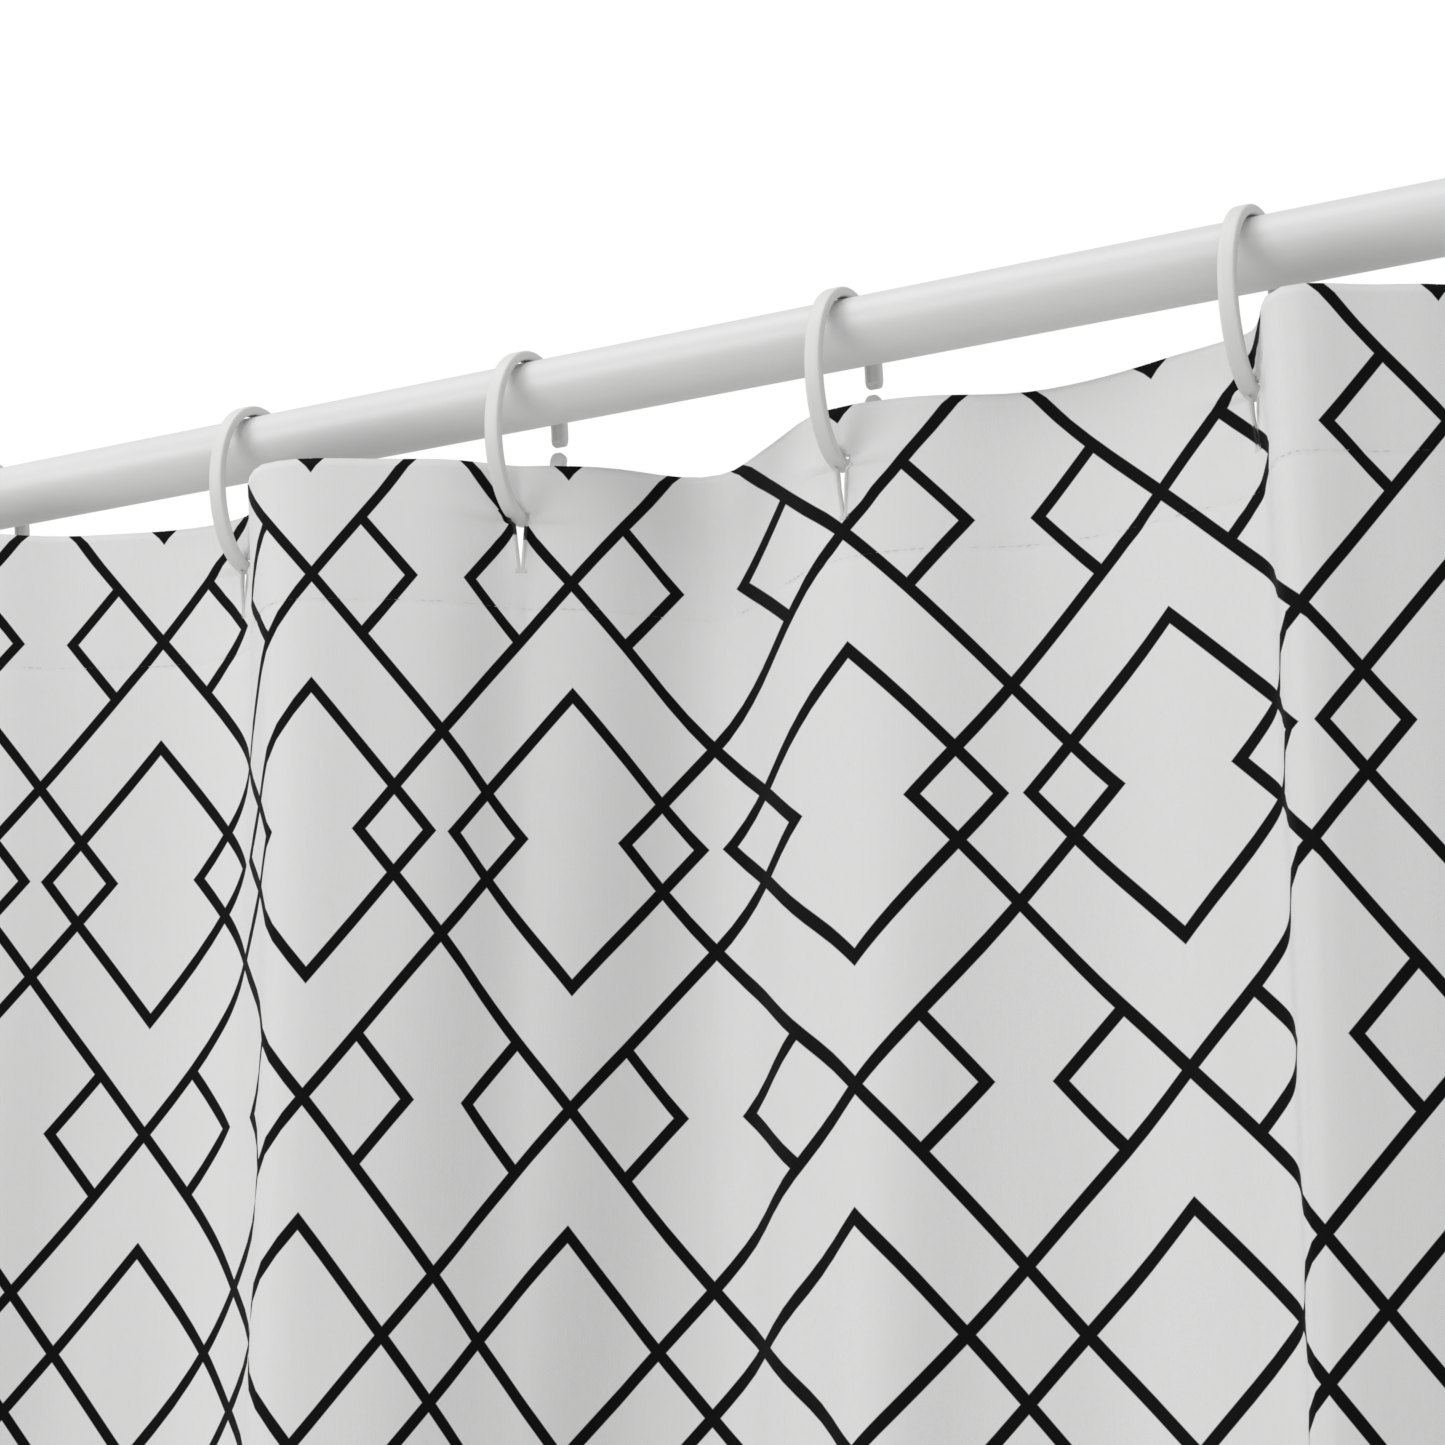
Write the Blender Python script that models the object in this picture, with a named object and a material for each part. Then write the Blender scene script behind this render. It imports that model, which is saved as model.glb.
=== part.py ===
"""Shower curtain hung on a wall-mounted rod by clip-on C rings.

Metres, +Z up. The rod runs along +X with its axis through the origin, which is
the centre of the left wall plate's back face. The front of the curtain faces -Y.
"""
import math

import bmesh
import bpy
from mathutils import Matrix, Vector

# ---- driving sizes -------------------------------------------------------------

# cloth, as cut and sewn, laid flat
FLAT_WIDTH = 1.800
FLAT_HEIGHT = 2.000
CLOTH_THICKNESS = 0.0010
HEM_THICKNESS = 0.0006
TOP_HEM = 0.054
BOTTOM_HEM = 0.030
SIDE_HEM = 0.009
SIDE_MARGIN = 0.020          # side edge to the middle of the first buttonhole

# buttonholes
RING_COUNT = 12
HOLE_ROOM = 0.00275          # buttonhole beside the ring's strip, each side
HOLE_HEIGHT = 0.018
HOLE_DROP = 0.017            # top edge of the cloth to the top of the hole
STITCH_BAND = 0.0022         # width of the sewn edge round a buttonhole
STITCH_THICKNESS = 0.0005

# how it hangs: one row for each span between two rings, read from the left.
# gap as a share of the hole pitch, place of the fold's crest along the gap,
# and the side the fold goes to (-1 forwards, +1 backwards)
SPANS = [
    (0.880, 0.52, 1),
    (0.825, 0.38, -1),
    (0.935, 0.50, 1),
    (0.880, 0.22, -1),
    (0.812, 0.34, -1),
    (0.850, 0.42, 1),
    (0.972, 0.50, 1),
    (0.825, 0.26, -1),
    (0.890, 0.50, 1),
    (0.838, 0.40, -1),
    (0.912, 0.52, 1),
]
LOWER_GATHER = 0.05          # how much narrower the folds draw in at the bottom edge
HOLE_SLOPE = 0.5             # share of the folds' slope that is left at a ring

# rod
ROD_DIAMETER = 0.025
ROD_WALL = 0.0012
END_ROOM = 0.085             # wall to the nearest ring, at each end

# C ring
RING_HEIGHT = 0.068
RING_DEPTH = 0.0475
RING_WIDTH = 0.0070          # strip width, along the rod
RING_THICKNESS = 0.0035
RING_CHAMFER = 0.0009
RING_EGG = 0.10              # how much wider the ring's upper half is
RING_MOUTH = 0.0016          # gap between the two tips
RING_MOUTH_DROP = 0.0305     # top of the ring to the middle of the gap
RING_TIP = 0.0012            # length of each rounded tip

# wall sockets
PLATE_RIM = 0.00335          # plate outside the screw heads
PLATE_THICKNESS = 0.003
COLLAR_LENGTH = 0.024        # from the wall
COLLAR_WALL = 0.0030
COVER_LENGTH = 0.015
COVER_WALL = 0.0015
COVER_LIP = 0.004            # straight rim against the wall

# fixings
SCREWS_PER_PLATE = 3
SCREW_ROOM = 0.00205         # screw heads outside the collar
SCREW_SHANK = 0.0040
SCREW_HEAD = 0.0078
SCREW_HEAD_HEIGHT = 0.0024
SCREW_LENGTH = 0.030
GRUB_DIAMETER = 0.0040
GRUB_PLACE = 0.0195          # grub screw from the wall

# clearances
TOUCH = 0.0003               # between pieces that touch
ROD_FIT = 0.0003             # tube in its collar, on the radius
COVER_FIT = 0.0004           # cover over the collar, on the radius
PLATE_FIT = 0.0015           # cover outside the plate, on the radius
SCREW_FIT = 0.0003           # screw in the plate, on the radius
RING_SEAT = 0.0005           # ring over the top of the rod
HOLE_FIT = 0.00031           # under the buttonhole's top, at the edge of the ring's strip
STRIP_RISE = 10.0            # rise of the ring's bore where leaning cloth meets that edge,
                             # per square of the strip's width

# ---- sizes that follow ---------------------------------------------------------

ROD_RADIUS = ROD_DIAMETER / 2
HOLE_PITCH = (FLAT_WIDTH - 2 * SIDE_MARGIN) / (RING_COUNT - 1)
HUNG_GAPS = [share * HOLE_PITCH for share, _, _ in SPANS]
ROD_LENGTH = sum(HUNG_GAPS) + 2 * END_ROOM
RING_TOP = ROD_RADIUS + RING_SEAT + RING_THICKNESS
RING_BOTTOM = RING_TOP - RING_HEIGHT
HOLE_WIDTH = RING_WIDTH + 2 * HOLE_ROOM
HOLE_LIFT = HOLE_FIT + STRIP_RISE * RING_WIDTH ** 2
CLOTH_TOP = RING_BOTTOM + RING_THICKNESS + HOLE_LIFT + HOLE_DROP
COLLAR_BORE = ROD_RADIUS + ROD_FIT
COLLAR_RADIUS = COLLAR_BORE + COLLAR_WALL
SCREW_CIRCLE = 2 * (COLLAR_RADIUS + SCREW_ROOM) + SCREW_HEAD
PLATE_DIAMETER = SCREW_CIRCLE + SCREW_HEAD + 2 * PLATE_RIM
COVER_DIAMETER = PLATE_DIAMETER + 2 * (COVER_WALL + PLATE_FIT)

# ---- mesh detail ---------------------------------------------------------------

ROUND_STEPS = 24
SMALL_ROUND_STEPS = 8
RING_STEPS = 22
SPAN_STEPS = 4               # cloth facets between two buttonholes
LOWER_ROWS = 4
CURVE_STEPS = 10             # samples between two of the fold's own points
DEPTH_TRIES = 30


def clear_scene():
    for thing in list(bpy.data.objects):
        bpy.data.objects.remove(thing, do_unlink=True)


def make_material(name, colour, roughness, metallic=0.0):
    material = bpy.data.materials.new(name)
    material.use_nodes = True
    shader = material.node_tree.nodes["Principled BSDF"]
    shader.inputs["Base Color"].default_value = (*colour, 1.0)
    shader.inputs["Roughness"].default_value = roughness
    shader.inputs["Metallic"].default_value = metallic
    return material


def add_piece(name, mesh, material, parent=None, smooth_angle=35):
    piece = bpy.data.objects.new(name, mesh)
    bpy.context.scene.collection.objects.link(piece)
    if not mesh.materials:
        mesh.materials.append(material)
    if smooth_angle:
        mesh.shade_smooth()
        mesh.set_sharp_from_angle(angle=math.radians(smooth_angle))
    piece.parent = parent
    return piece


def add_empty(name, location, parent=None):
    empty = bpy.data.objects.new(name, None)
    bpy.context.scene.collection.objects.link(empty)
    empty.location = location
    empty.parent = parent
    return empty


def finished_mesh(name, bm):
    bmesh.ops.recalc_face_normals(bm, faces=bm.faces)
    mesh = bpy.data.meshes.new(name)
    bm.to_mesh(mesh)
    bm.free()
    return mesh


def turned_mesh(name, profile, steps=ROUND_STEPS):
    """Outline of (x, radius) points, turned about the X axis. An outline that
    starts and ends on the axis is left open there."""
    bm = bmesh.new()
    outline = [bm.verts.new((x, 0.0, radius)) for x, radius in profile]
    on_axis = profile[0][1] == 0 and profile[-1][1] == 0
    following = outline[1:] if on_axis else outline[1:] + outline[:1]
    edges = [bm.edges.new(pair) for pair in zip(outline, following)]
    bmesh.ops.spin(
        bm, geom=outline + edges, cent=(0, 0, 0), axis=(1, 0, 0),
        angle=2 * math.pi, steps=steps, use_merge=True, use_duplicate=False,
    )
    bmesh.ops.remove_doubles(bm, verts=bm.verts, dist=1e-6)
    return finished_mesh(name, bm)


# ---- rod and wall sockets ------------------------------------------------------


def rod_mesh():
    start = PLATE_THICKNESS + TOUCH
    end = ROD_LENGTH - start
    inner = ROD_RADIUS - ROD_WALL
    return turned_mesh(
        "rod_tube",
        [(start, inner), (start, ROD_RADIUS), (end, ROD_RADIUS), (end, inner)],
    )


def screw_places():
    turn = 2 * math.pi / SCREWS_PER_PLATE
    half_facet = math.pi / ROUND_STEPS    # keeps the holes off the plate's own edges
    for number in range(SCREWS_PER_PLATE):
        angle = math.pi / 2 + half_facet + number * turn
        yield Vector((0, math.cos(angle), math.sin(angle))) * SCREW_CIRCLE / 2


def add_cutter(name, radius, length, centre, axis, parent):
    bm = bmesh.new()
    bmesh.ops.create_cone(
        bm, cap_ends=True, segments=SMALL_ROUND_STEPS * 2,
        radius1=radius, radius2=radius, depth=length,
    )
    turn = Vector((0, 0, 1)).rotation_difference(axis).to_matrix().to_4x4()
    bmesh.ops.transform(bm, matrix=Matrix.Translation(centre) @ turn, verts=bm.verts)
    cutter = bpy.data.objects.new(name, finished_mesh(name, bm))
    bpy.context.scene.collection.objects.link(cutter)
    cutter.parent = parent
    cutter.hide_render = True
    cutter.display_type = "WIRE"
    return cutter


def cut(piece, cutter):
    boolean = piece.modifiers.new(cutter.name, "BOOLEAN")
    boolean.operation = "DIFFERENCE"
    boolean.solver = "EXACT"
    boolean.object = cutter


def socket_mesh():
    """Round wall plate with a blind collar that takes the end of the tube."""
    plate = PLATE_DIAMETER / 2
    edge = PLATE_THICKNESS / 3
    return turned_mesh("socket", [
        (0, 0), (0, plate), (PLATE_THICKNESS - edge, plate),
        (PLATE_THICKNESS, plate - edge), (PLATE_THICKNESS, COLLAR_RADIUS),
        (COLLAR_LENGTH - edge, COLLAR_RADIUS), (COLLAR_LENGTH, COLLAR_RADIUS - edge),
        (COLLAR_LENGTH, COLLAR_BORE), (PLATE_THICKNESS, COLLAR_BORE),
        (PLATE_THICKNESS, 0),
    ])


def cover_mesh():
    """Domed rosette that slides over the collar and hides the screws."""
    outer = COVER_DIAMETER / 2
    bore = COLLAR_RADIUS + COVER_FIT
    dome = [(COVER_LIP, outer)]
    rise = COVER_LENGTH - COVER_LIP
    fall = outer - bore - COVER_WALL
    for step in range(1, 6):
        angle = step / 5 * math.pi / 2
        dome.append((COVER_LIP + rise * math.sin(angle), outer - fall * (1 - math.cos(angle))))
    inner = [
        (COVER_LENGTH - COVER_WALL, bore + COVER_WALL),
        (COVER_LIP, outer - COVER_WALL),
        (TOUCH, outer - COVER_WALL),
    ]
    return turned_mesh("cover", [(TOUCH, outer)] + dome + [(COVER_LENGTH, bore),
                       (COVER_LENGTH - COVER_WALL, bore)] + inner)


def screw_mesh():
    """Wall screw: pan head on the plate, shank into the wall."""
    seat = PLATE_THICKNESS + TOUCH
    head = SCREW_HEAD / 2
    shank = SCREW_SHANK / 2
    profile = [
        (seat + SCREW_HEAD_HEIGHT, 0), (seat + SCREW_HEAD_HEIGHT, head * 0.7),
        (seat + SCREW_HEAD_HEIGHT * 0.5, head), (seat, head), (seat, shank),
        (seat - SCREW_LENGTH + 2 * shank, shank), (seat - SCREW_LENGTH, 0),
    ]
    return turned_mesh("wall_screw", profile, SMALL_ROUND_STEPS)


def grub_mesh():
    """Grub screw through the underside of the collar, against the tube."""
    inner = ROD_RADIUS + TOUCH
    outer = COLLAR_RADIUS + TOUCH
    mesh = turned_mesh(
        "grub", [(inner, 0), (inner, GRUB_DIAMETER / 2), (outer, GRUB_DIAMETER / 2), (outer, 0)],
        SMALL_ROUND_STEPS,
    )
    down = Matrix.Rotation(math.pi / 2, 4, "Y")
    mesh.transform(Matrix.Translation((GRUB_PLACE, 0, 0)) @ down)
    return mesh


def add_wall_end(side, parent, materials):
    """One end's socket, cover, wall screws and grub screw, all facing +X."""
    socket = add_piece(f"{side}_socket", socket_mesh(), materials["fitting"], parent)
    shared_screw = screw_mesh()
    hole_radius = SCREW_SHANK / 2 + SCREW_FIT
    for number, place in enumerate(screw_places(), 1):
        centre = place + Vector((PLATE_THICKNESS / 2, 0, 0))
        cutter = add_cutter(
            f"{side}_screw_hole_{number}", hole_radius, PLATE_THICKNESS * 3,
            centre, Vector((1, 0, 0)), parent,
        )
        cut(socket, cutter)
        screw = add_piece(f"{side}_wall_screw_{number}", shared_screw, materials["steel"], parent)
        screw.location = place
    thread = add_cutter(
        f"{side}_grub_hole", GRUB_DIAMETER / 2 + SCREW_FIT, COLLAR_WALL * 3,
        Vector((GRUB_PLACE, 0, -(COLLAR_BORE + COLLAR_WALL / 2))), Vector((0, 0, 1)), parent,
    )
    cut(socket, thread)
    add_piece(f"{side}_cover", cover_mesh(), materials["fitting"], parent)
    add_piece(f"{side}_grub_screw", grub_mesh(), materials["steel"], parent)


# ---- C ring --------------------------------------------------------------------


def ring_path():
    """Centre line of the ring in its own YZ plane, from the upper tip over the
    rod, down the front, under, and up to the lower tip behind."""
    half_depth = (RING_DEPTH - RING_THICKNESS) / 2
    half_height = (RING_HEIGHT - RING_THICKNESS) / 2
    middle = (RING_TOP + RING_BOTTOM) / 2
    mouth_angle = math.asin((RING_TOP - RING_MOUTH_DROP - middle) / half_height)
    half_mouth = RING_MOUTH / 2 / half_height
    tip = RING_TIP / half_height
    start = mouth_angle + half_mouth
    end = mouth_angle + 2 * math.pi - half_mouth
    angles = [start, start + tip]
    run = end - start - 2 * tip
    angles += [start + tip + run * step / RING_STEPS for step in range(1, RING_STEPS)]
    angles += [end - tip, end]
    for angle in angles:
        across = half_depth * math.cos(angle) * (1 + RING_EGG * math.sin(angle))
        slope = Vector((
            0,
            half_depth * (-math.sin(angle) + RING_EGG * math.cos(2 * angle)),
            half_height * math.cos(angle),
        )).normalized()
        yield Vector((0, across, middle + half_height * math.sin(angle))), slope


def ring_section():
    """Flat strip with its four corners taken off, as (along X, outward)."""
    wide, thick, chamfer = RING_WIDTH / 2, RING_THICKNESS / 2, RING_CHAMFER
    return [
        (wide, thick - chamfer), (wide - chamfer, thick),
        (chamfer - wide, thick), (-wide, thick - chamfer),
        (-wide, chamfer - thick), (chamfer - wide, -thick),
        (wide - chamfer, -thick), (wide, chamfer - thick),
    ]


def ring_mesh():
    bm = bmesh.new()
    stations = list(ring_path())
    loops = []
    for number, (point, slope) in enumerate(stations):
        outward = Vector((0, slope.z, -slope.y))
        size = 0.62 if number in (0, len(stations) - 1) else 1.0
        loops.append([
            bm.verts.new(point + Vector((x * size, 0, 0)) + outward * out * size)
            for x, out in ring_section()
        ])
    for first, second in zip(loops, loops[1:]):
        for corner in range(len(first)):
            following = (corner + 1) % len(first)
            bm.faces.new((first[corner], first[following], second[following], second[corner]))
    bm.faces.new(loops[0])
    bm.faces.new(loops[-1])
    return finished_mesh("ring", bm)


# ---- cloth ---------------------------------------------------------------------


def fold_points(level, depths):
    """The fold line's own points in plan at one height, 0 at the top edge and 1
    at the bottom: edge, hole, crest, hole, crest ... hole, edge."""
    middle = ROD_LENGTH / 2
    draw = 1 - LOWER_GATHER * level
    place = END_ROOM
    points = [Vector((middle + (place - middle) * draw - SIDE_MARGIN, 0))]
    points.append(Vector((middle + (place - middle) * draw, 0)))
    for gap, (_, crest, side), depth in zip(HUNG_GAPS, SPANS, depths):
        points.append(Vector((middle + (place + gap * crest - middle) * draw, side * depth)))
        place += gap
        points.append(Vector((middle + (place - middle) * draw, 0)))
    points.append(points[-1] + Vector((SIDE_MARGIN, 0)))
    return points


def smooth_line(points):
    """A smooth line through the points, CURVE_STEPS samples to each stretch. Every
    second point is a hole, where the ring turns the cloth towards the rod."""
    chords = [(b - a).length for a, b in zip(points, points[1:])]
    slopes = [(points[1] - points[0]) / chords[0]]
    for number in range(1, len(points) - 1):
        before, after = chords[number - 1], chords[number]
        into = (points[number] - points[number - 1]) / before
        out = (points[number + 1] - points[number]) / after
        slope = (into * after + out * before) / (before + after)
        if number % 2 == 1:
            slope.y *= HOLE_SLOPE
        slopes.append(slope)
    slopes.append((points[-1] - points[-2]) / chords[-1])
    line = [points[0]]
    for number, chord in enumerate(chords):
        for step in range(1, CURVE_STEPS + 1):
            t = step / CURVE_STEPS
            line.append(
                points[number] * (2 * t**3 - 3 * t**2 + 1)
                + slopes[number] * chord * (t**3 - 2 * t**2 + t)
                + points[number + 1] * (3 * t**2 - 2 * t**3)
                + slopes[number + 1] * chord * (t**3 - t**2)
            )
    return line


def line_length(line):
    return sum((b - a).length for a, b in zip(line, line[1:]))


def span_slices():
    """Where each span's samples start and end in the smooth line."""
    for number in range(RING_COUNT - 1):
        start = CURVE_STEPS * (1 + 2 * number)
        yield start, start + 2 * CURVE_STEPS


def fold_line(level):
    """The smooth fold line whose every span holds one hole pitch of cloth."""
    draw = 1 - LOWER_GATHER * level
    depths = [HOLE_PITCH * 0.2] * (RING_COUNT - 1)
    line = smooth_line(fold_points(level, depths))
    for _ in range(DEPTH_TRIES):
        for number, (start, end) in enumerate(span_slices()):
            gap = HUNG_GAPS[number] * draw
            length = line_length(line[start:end + 1])
            depths[number] *= math.sqrt((HOLE_PITCH - gap) / (length - gap))
        line = smooth_line(fold_points(level, depths))
    return line


def stretch_places(line):
    """Flat-cloth distance of each sample from the left edge."""
    bounds = [0] + [start for start, _ in span_slices()]
    bounds += [bounds[-1] + 2 * CURVE_STEPS, len(line) - 1]
    flat = [0, SIDE_MARGIN]
    flat += [SIDE_MARGIN + HOLE_PITCH * number for number in range(1, RING_COUNT)]
    flat.append(FLAT_WIDTH)
    places = [0.0]
    for number in range(len(bounds) - 1):
        part = line[bounds[number]:bounds[number + 1] + 1]
        share = (flat[number + 1] - flat[number]) / line_length(part)
        for a, b in zip(part, part[1:]):
            places.append(places[-1] + (b - a).length * share)
    return places


class FoldedCloth:
    """Turns a flat place (across, down) into a place on the hung cloth."""

    def __init__(self, rows):
        self.rows = {}
        for down in rows:
            line = fold_line(down / FLAT_HEIGHT)
            self.rows[down] = (line, stretch_places(line))

    def at(self, across, down, outward):
        """outward is the distance in front of the cloth's middle surface."""
        line, places = self.rows[down]
        number = 1
        while number < len(places) - 1 and places[number] < across:
            number += 1
        share = (across - places[number - 1]) / (places[number] - places[number - 1])
        here = line[number - 1].lerp(line[number], share)
        before = line[max(number - 2, 0)]
        after = line[min(number + 1, len(line) - 1)]
        along = (line[number] - line[number - 1]).normalized() + (after - before).normalized()
        along.normalize()
        return Vector((here.x + along.y * outward, here.y - along.x * outward, CLOTH_TOP - down))


def hole_places():
    return [SIDE_MARGIN + HOLE_PITCH * number for number in range(RING_COUNT)]


def in_hole(across, down):
    if not HOLE_DROP < down < HOLE_DROP + HOLE_HEIGHT:
        return False
    return any(abs(across - place) < HOLE_WIDTH / 2 for place in hole_places())


def cloth_columns():
    """Flat places of the cloth's vertical mesh lines."""
    band = HOLE_WIDTH / 2 + STITCH_BAND
    columns = {0.0, SIDE_HEM, FLAT_WIDTH - SIDE_HEM, FLAT_WIDTH}
    for place in hole_places():
        columns.update((place - band, place - HOLE_WIDTH / 2, place + HOLE_WIDTH / 2, place + band))
    for place in hole_places()[:-1]:
        free = HOLE_PITCH - 2 * band
        columns.update(place + band + free * step / SPAN_STEPS for step in range(1, SPAN_STEPS))
    return sorted(columns)


def cloth_rows():
    """Distances of the cloth's horizontal mesh lines from the top edge."""
    rows = [
        0.0, HOLE_DROP - STITCH_BAND, HOLE_DROP, HOLE_DROP + HOLE_HEIGHT,
        HOLE_DROP + HOLE_HEIGHT + STITCH_BAND, TOP_HEM, TOP_HEM + TOUCH,
    ]
    low = FLAT_HEIGHT - BOTTOM_HEM - TOUCH
    rows += [TOP_HEM + (low - TOP_HEM) * step / LOWER_ROWS for step in range(1, LOWER_ROWS)]
    return rows + [low, FLAT_HEIGHT - BOTTOM_HEM, FLAT_HEIGHT]


def cloth_mesh(name, cloth, columns, rows, front, back, left_out=in_hole):
    """A closed sheet between two distances from the cloth's middle surface,
    in cells between the given columns and rows, less the cells left out."""
    bm = bmesh.new()
    corners = {}

    def corner(column, row, outward):
        key = (column, row, outward)
        if key not in corners:
            corners[key] = bm.verts.new(cloth.at(columns[column], rows[row], outward))
        return corners[key]

    def filled(column, row):
        if not (0 <= column < len(columns) - 1 and 0 <= row < len(rows) - 1):
            return False
        across = (columns[column] + columns[column + 1]) / 2
        return not left_out(across, (rows[row] + rows[row + 1]) / 2)

    def quad(a, b, c, d):
        bm.faces.new((a, b, c))
        bm.faces.new((a, c, d))

    for i in range(len(columns) - 1):
        for j in range(len(rows) - 1):
            if not filled(i, j):
                continue
            near = [corner(i, j, front), corner(i + 1, j, front),
                    corner(i + 1, j + 1, front), corner(i, j + 1, front)]
            far = [corner(i, j, back), corner(i + 1, j, back),
                   corner(i + 1, j + 1, back), corner(i, j + 1, back)]
            quad(*near)
            quad(*far)
            sides = (((i, j - 1), 0, 1), ((i + 1, j), 1, 2), ((i, j + 1), 2, 3), ((i - 1, j), 3, 0))
            for beside, a, b in sides:
                if not filled(*beside):
                    quad(near[a], near[b], far[b], far[a])
    return finished_mesh(name, bm)


def add_cloth(parent, materials):
    columns = cloth_columns()
    rows = cloth_rows()
    cloth = FoldedCloth(rows)
    half = CLOTH_THICKNESS / 2
    hem_front = -half - TOUCH
    hem_back = hem_front - HEM_THICKNESS
    top_row = rows.index(TOP_HEM)
    bottom_row = rows.index(FLAT_HEIGHT - BOTTOM_HEM)

    panel = cloth_mesh("panel", cloth, columns, rows, half, -half)
    add_piece("curtain_panel", panel, materials["cloth"], parent)
    band = cloth_mesh("top_hem", cloth, columns, rows[:top_row + 1], hem_front, hem_back)
    add_piece("top_hem", band, materials["cloth"], parent)
    foot = cloth_mesh("bottom_hem", cloth, columns, rows[bottom_row:], hem_front, hem_back)
    add_piece("bottom_hem", foot, materials["cloth"], parent)
    side_rows = rows[top_row + 1:bottom_row]
    for name, pair in (("left_side_hem", columns[:2]), ("right_side_hem", columns[-2:])):
        side = cloth_mesh(name, cloth, pair, side_rows, hem_front, hem_back)
        add_piece(name, side, materials["cloth"], parent)

    first = rows.index(HOLE_DROP - STITCH_BAND)
    stitch_rows = rows[first:first + 4]
    for number, place in enumerate(hole_places(), 1):
        middle = columns.index(min(columns, key=lambda column: abs(column - place)))
        near = [c for c in columns[max(middle - 3, 0):middle + 4]
                if abs(c - place) < HOLE_WIDTH / 2 + STITCH_BAND * 1.5]
        edge = cloth_mesh(
            "stitching", cloth, near, stitch_rows,
            half + TOUCH + STITCH_THICKNESS, half + TOUCH,
        )
        add_piece(f"buttonhole_stitching_{number:02d}", edge, materials["thread"], parent)


# ---- the whole curtain ---------------------------------------------------------


def build():
    clear_scene()
    materials = {
        "rod": make_material("rod_white", (0.80, 0.80, 0.80), 0.38),
        "fitting": make_material("fitting_white", (0.80, 0.80, 0.79), 0.45),
        "steel": make_material("screw_steel", (0.62, 0.62, 0.63), 0.30, 1.0),
        "ring": make_material("ring_white", (0.78, 0.78, 0.77), 0.50),
        "cloth": make_material("cloth_white", (0.74, 0.74, 0.74), 0.85),
        "thread": make_material("thread_white", (0.76, 0.76, 0.75), 0.75),
    }

    rod = add_piece("rod_tube", rod_mesh(), materials["rod"])
    left = add_empty("left_end", (0, 0, 0), rod)
    add_wall_end("left", left, materials)
    right = add_empty("right_end", (ROD_LENGTH, 0, 0), rod)
    right.rotation_euler = (0, 0, math.pi)
    add_wall_end("right", right, materials)

    swing = add_empty("curtain_swing_axis", (0, 0, 0), rod)
    add_cloth(swing, materials)
    shared_ring = ring_mesh()
    place = END_ROOM
    for number in range(RING_COUNT):
        ring = add_piece(f"ring_{number + 1:02d}", shared_ring, materials["ring"], swing)
        ring.location = (place, 0, 0)
        if number < len(HUNG_GAPS):
            place += HUNG_GAPS[number]


build()
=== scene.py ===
import math
import bmesh
import bpy
import numpy as np
from mathutils import Matrix, Vector


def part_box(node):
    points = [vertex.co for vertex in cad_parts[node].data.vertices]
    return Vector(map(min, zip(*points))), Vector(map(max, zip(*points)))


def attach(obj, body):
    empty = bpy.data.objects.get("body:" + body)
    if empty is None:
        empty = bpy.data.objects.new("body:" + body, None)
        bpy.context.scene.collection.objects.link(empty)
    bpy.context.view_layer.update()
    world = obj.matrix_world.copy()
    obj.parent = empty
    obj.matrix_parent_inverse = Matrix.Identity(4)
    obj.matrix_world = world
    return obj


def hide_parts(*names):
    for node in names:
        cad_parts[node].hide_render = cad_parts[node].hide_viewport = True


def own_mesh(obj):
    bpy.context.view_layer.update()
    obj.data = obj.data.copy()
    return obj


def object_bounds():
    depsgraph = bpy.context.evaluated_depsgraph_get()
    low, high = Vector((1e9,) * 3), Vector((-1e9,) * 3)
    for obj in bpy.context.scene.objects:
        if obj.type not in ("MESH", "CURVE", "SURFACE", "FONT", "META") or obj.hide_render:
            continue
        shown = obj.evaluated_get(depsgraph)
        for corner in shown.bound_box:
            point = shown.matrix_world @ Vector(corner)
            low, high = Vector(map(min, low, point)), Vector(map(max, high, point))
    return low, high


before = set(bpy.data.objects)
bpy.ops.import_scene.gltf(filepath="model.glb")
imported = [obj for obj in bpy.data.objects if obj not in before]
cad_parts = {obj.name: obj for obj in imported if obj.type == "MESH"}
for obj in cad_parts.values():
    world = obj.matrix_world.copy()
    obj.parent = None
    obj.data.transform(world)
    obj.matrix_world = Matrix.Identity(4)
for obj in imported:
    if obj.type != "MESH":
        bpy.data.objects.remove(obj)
cadBounds = [[float(c) for c in corner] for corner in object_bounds()]

ringCount = 12
ringNames = [f"ring_{n:02d}" for n in range(1, ringCount + 1)]
stitchNames = [f"buttonhole_stitching_{n:02d}" for n in range(1, ringCount + 1)]


def middleOf(node):
    low, high = (np.array(c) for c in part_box(node))
    return (low + high) / 2


def sizeOf(node):
    low, high = (np.array(c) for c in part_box(node))
    return high - low


ringPlaces = np.array([middleOf(name)[0] for name in ringNames])
rodRadius = sizeOf("rod_tube")[2] / 2
ringTop = float(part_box("ring_01")[1][2])
clothRaise = 0.001                  # the hung cloth starts this far above the panel's box
clothTop = float(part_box("curtain_panel")[1][2]) + clothRaise


# each lamp: place, width and height, power
studio = {
    "ambient": 0.61, "floorHalf": 6.0, "floorDrop": 0.03, "floorPaint": (0.86, 0.86, 0.85),
    "lamps": {
        "keyLight": ((-0.8, -2.5, 0.7), (1.6, 1.0), 22),
        "topLight": ((0.3, -1.3, 2.3), (2.6, 1.4), 24),
    },
}
viewPoint = {"place": (1.483, -0.993, -0.490), "turn": 31.7, "tilt": 16.73, "roll": 2.5, "lens": 86.5}


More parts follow.
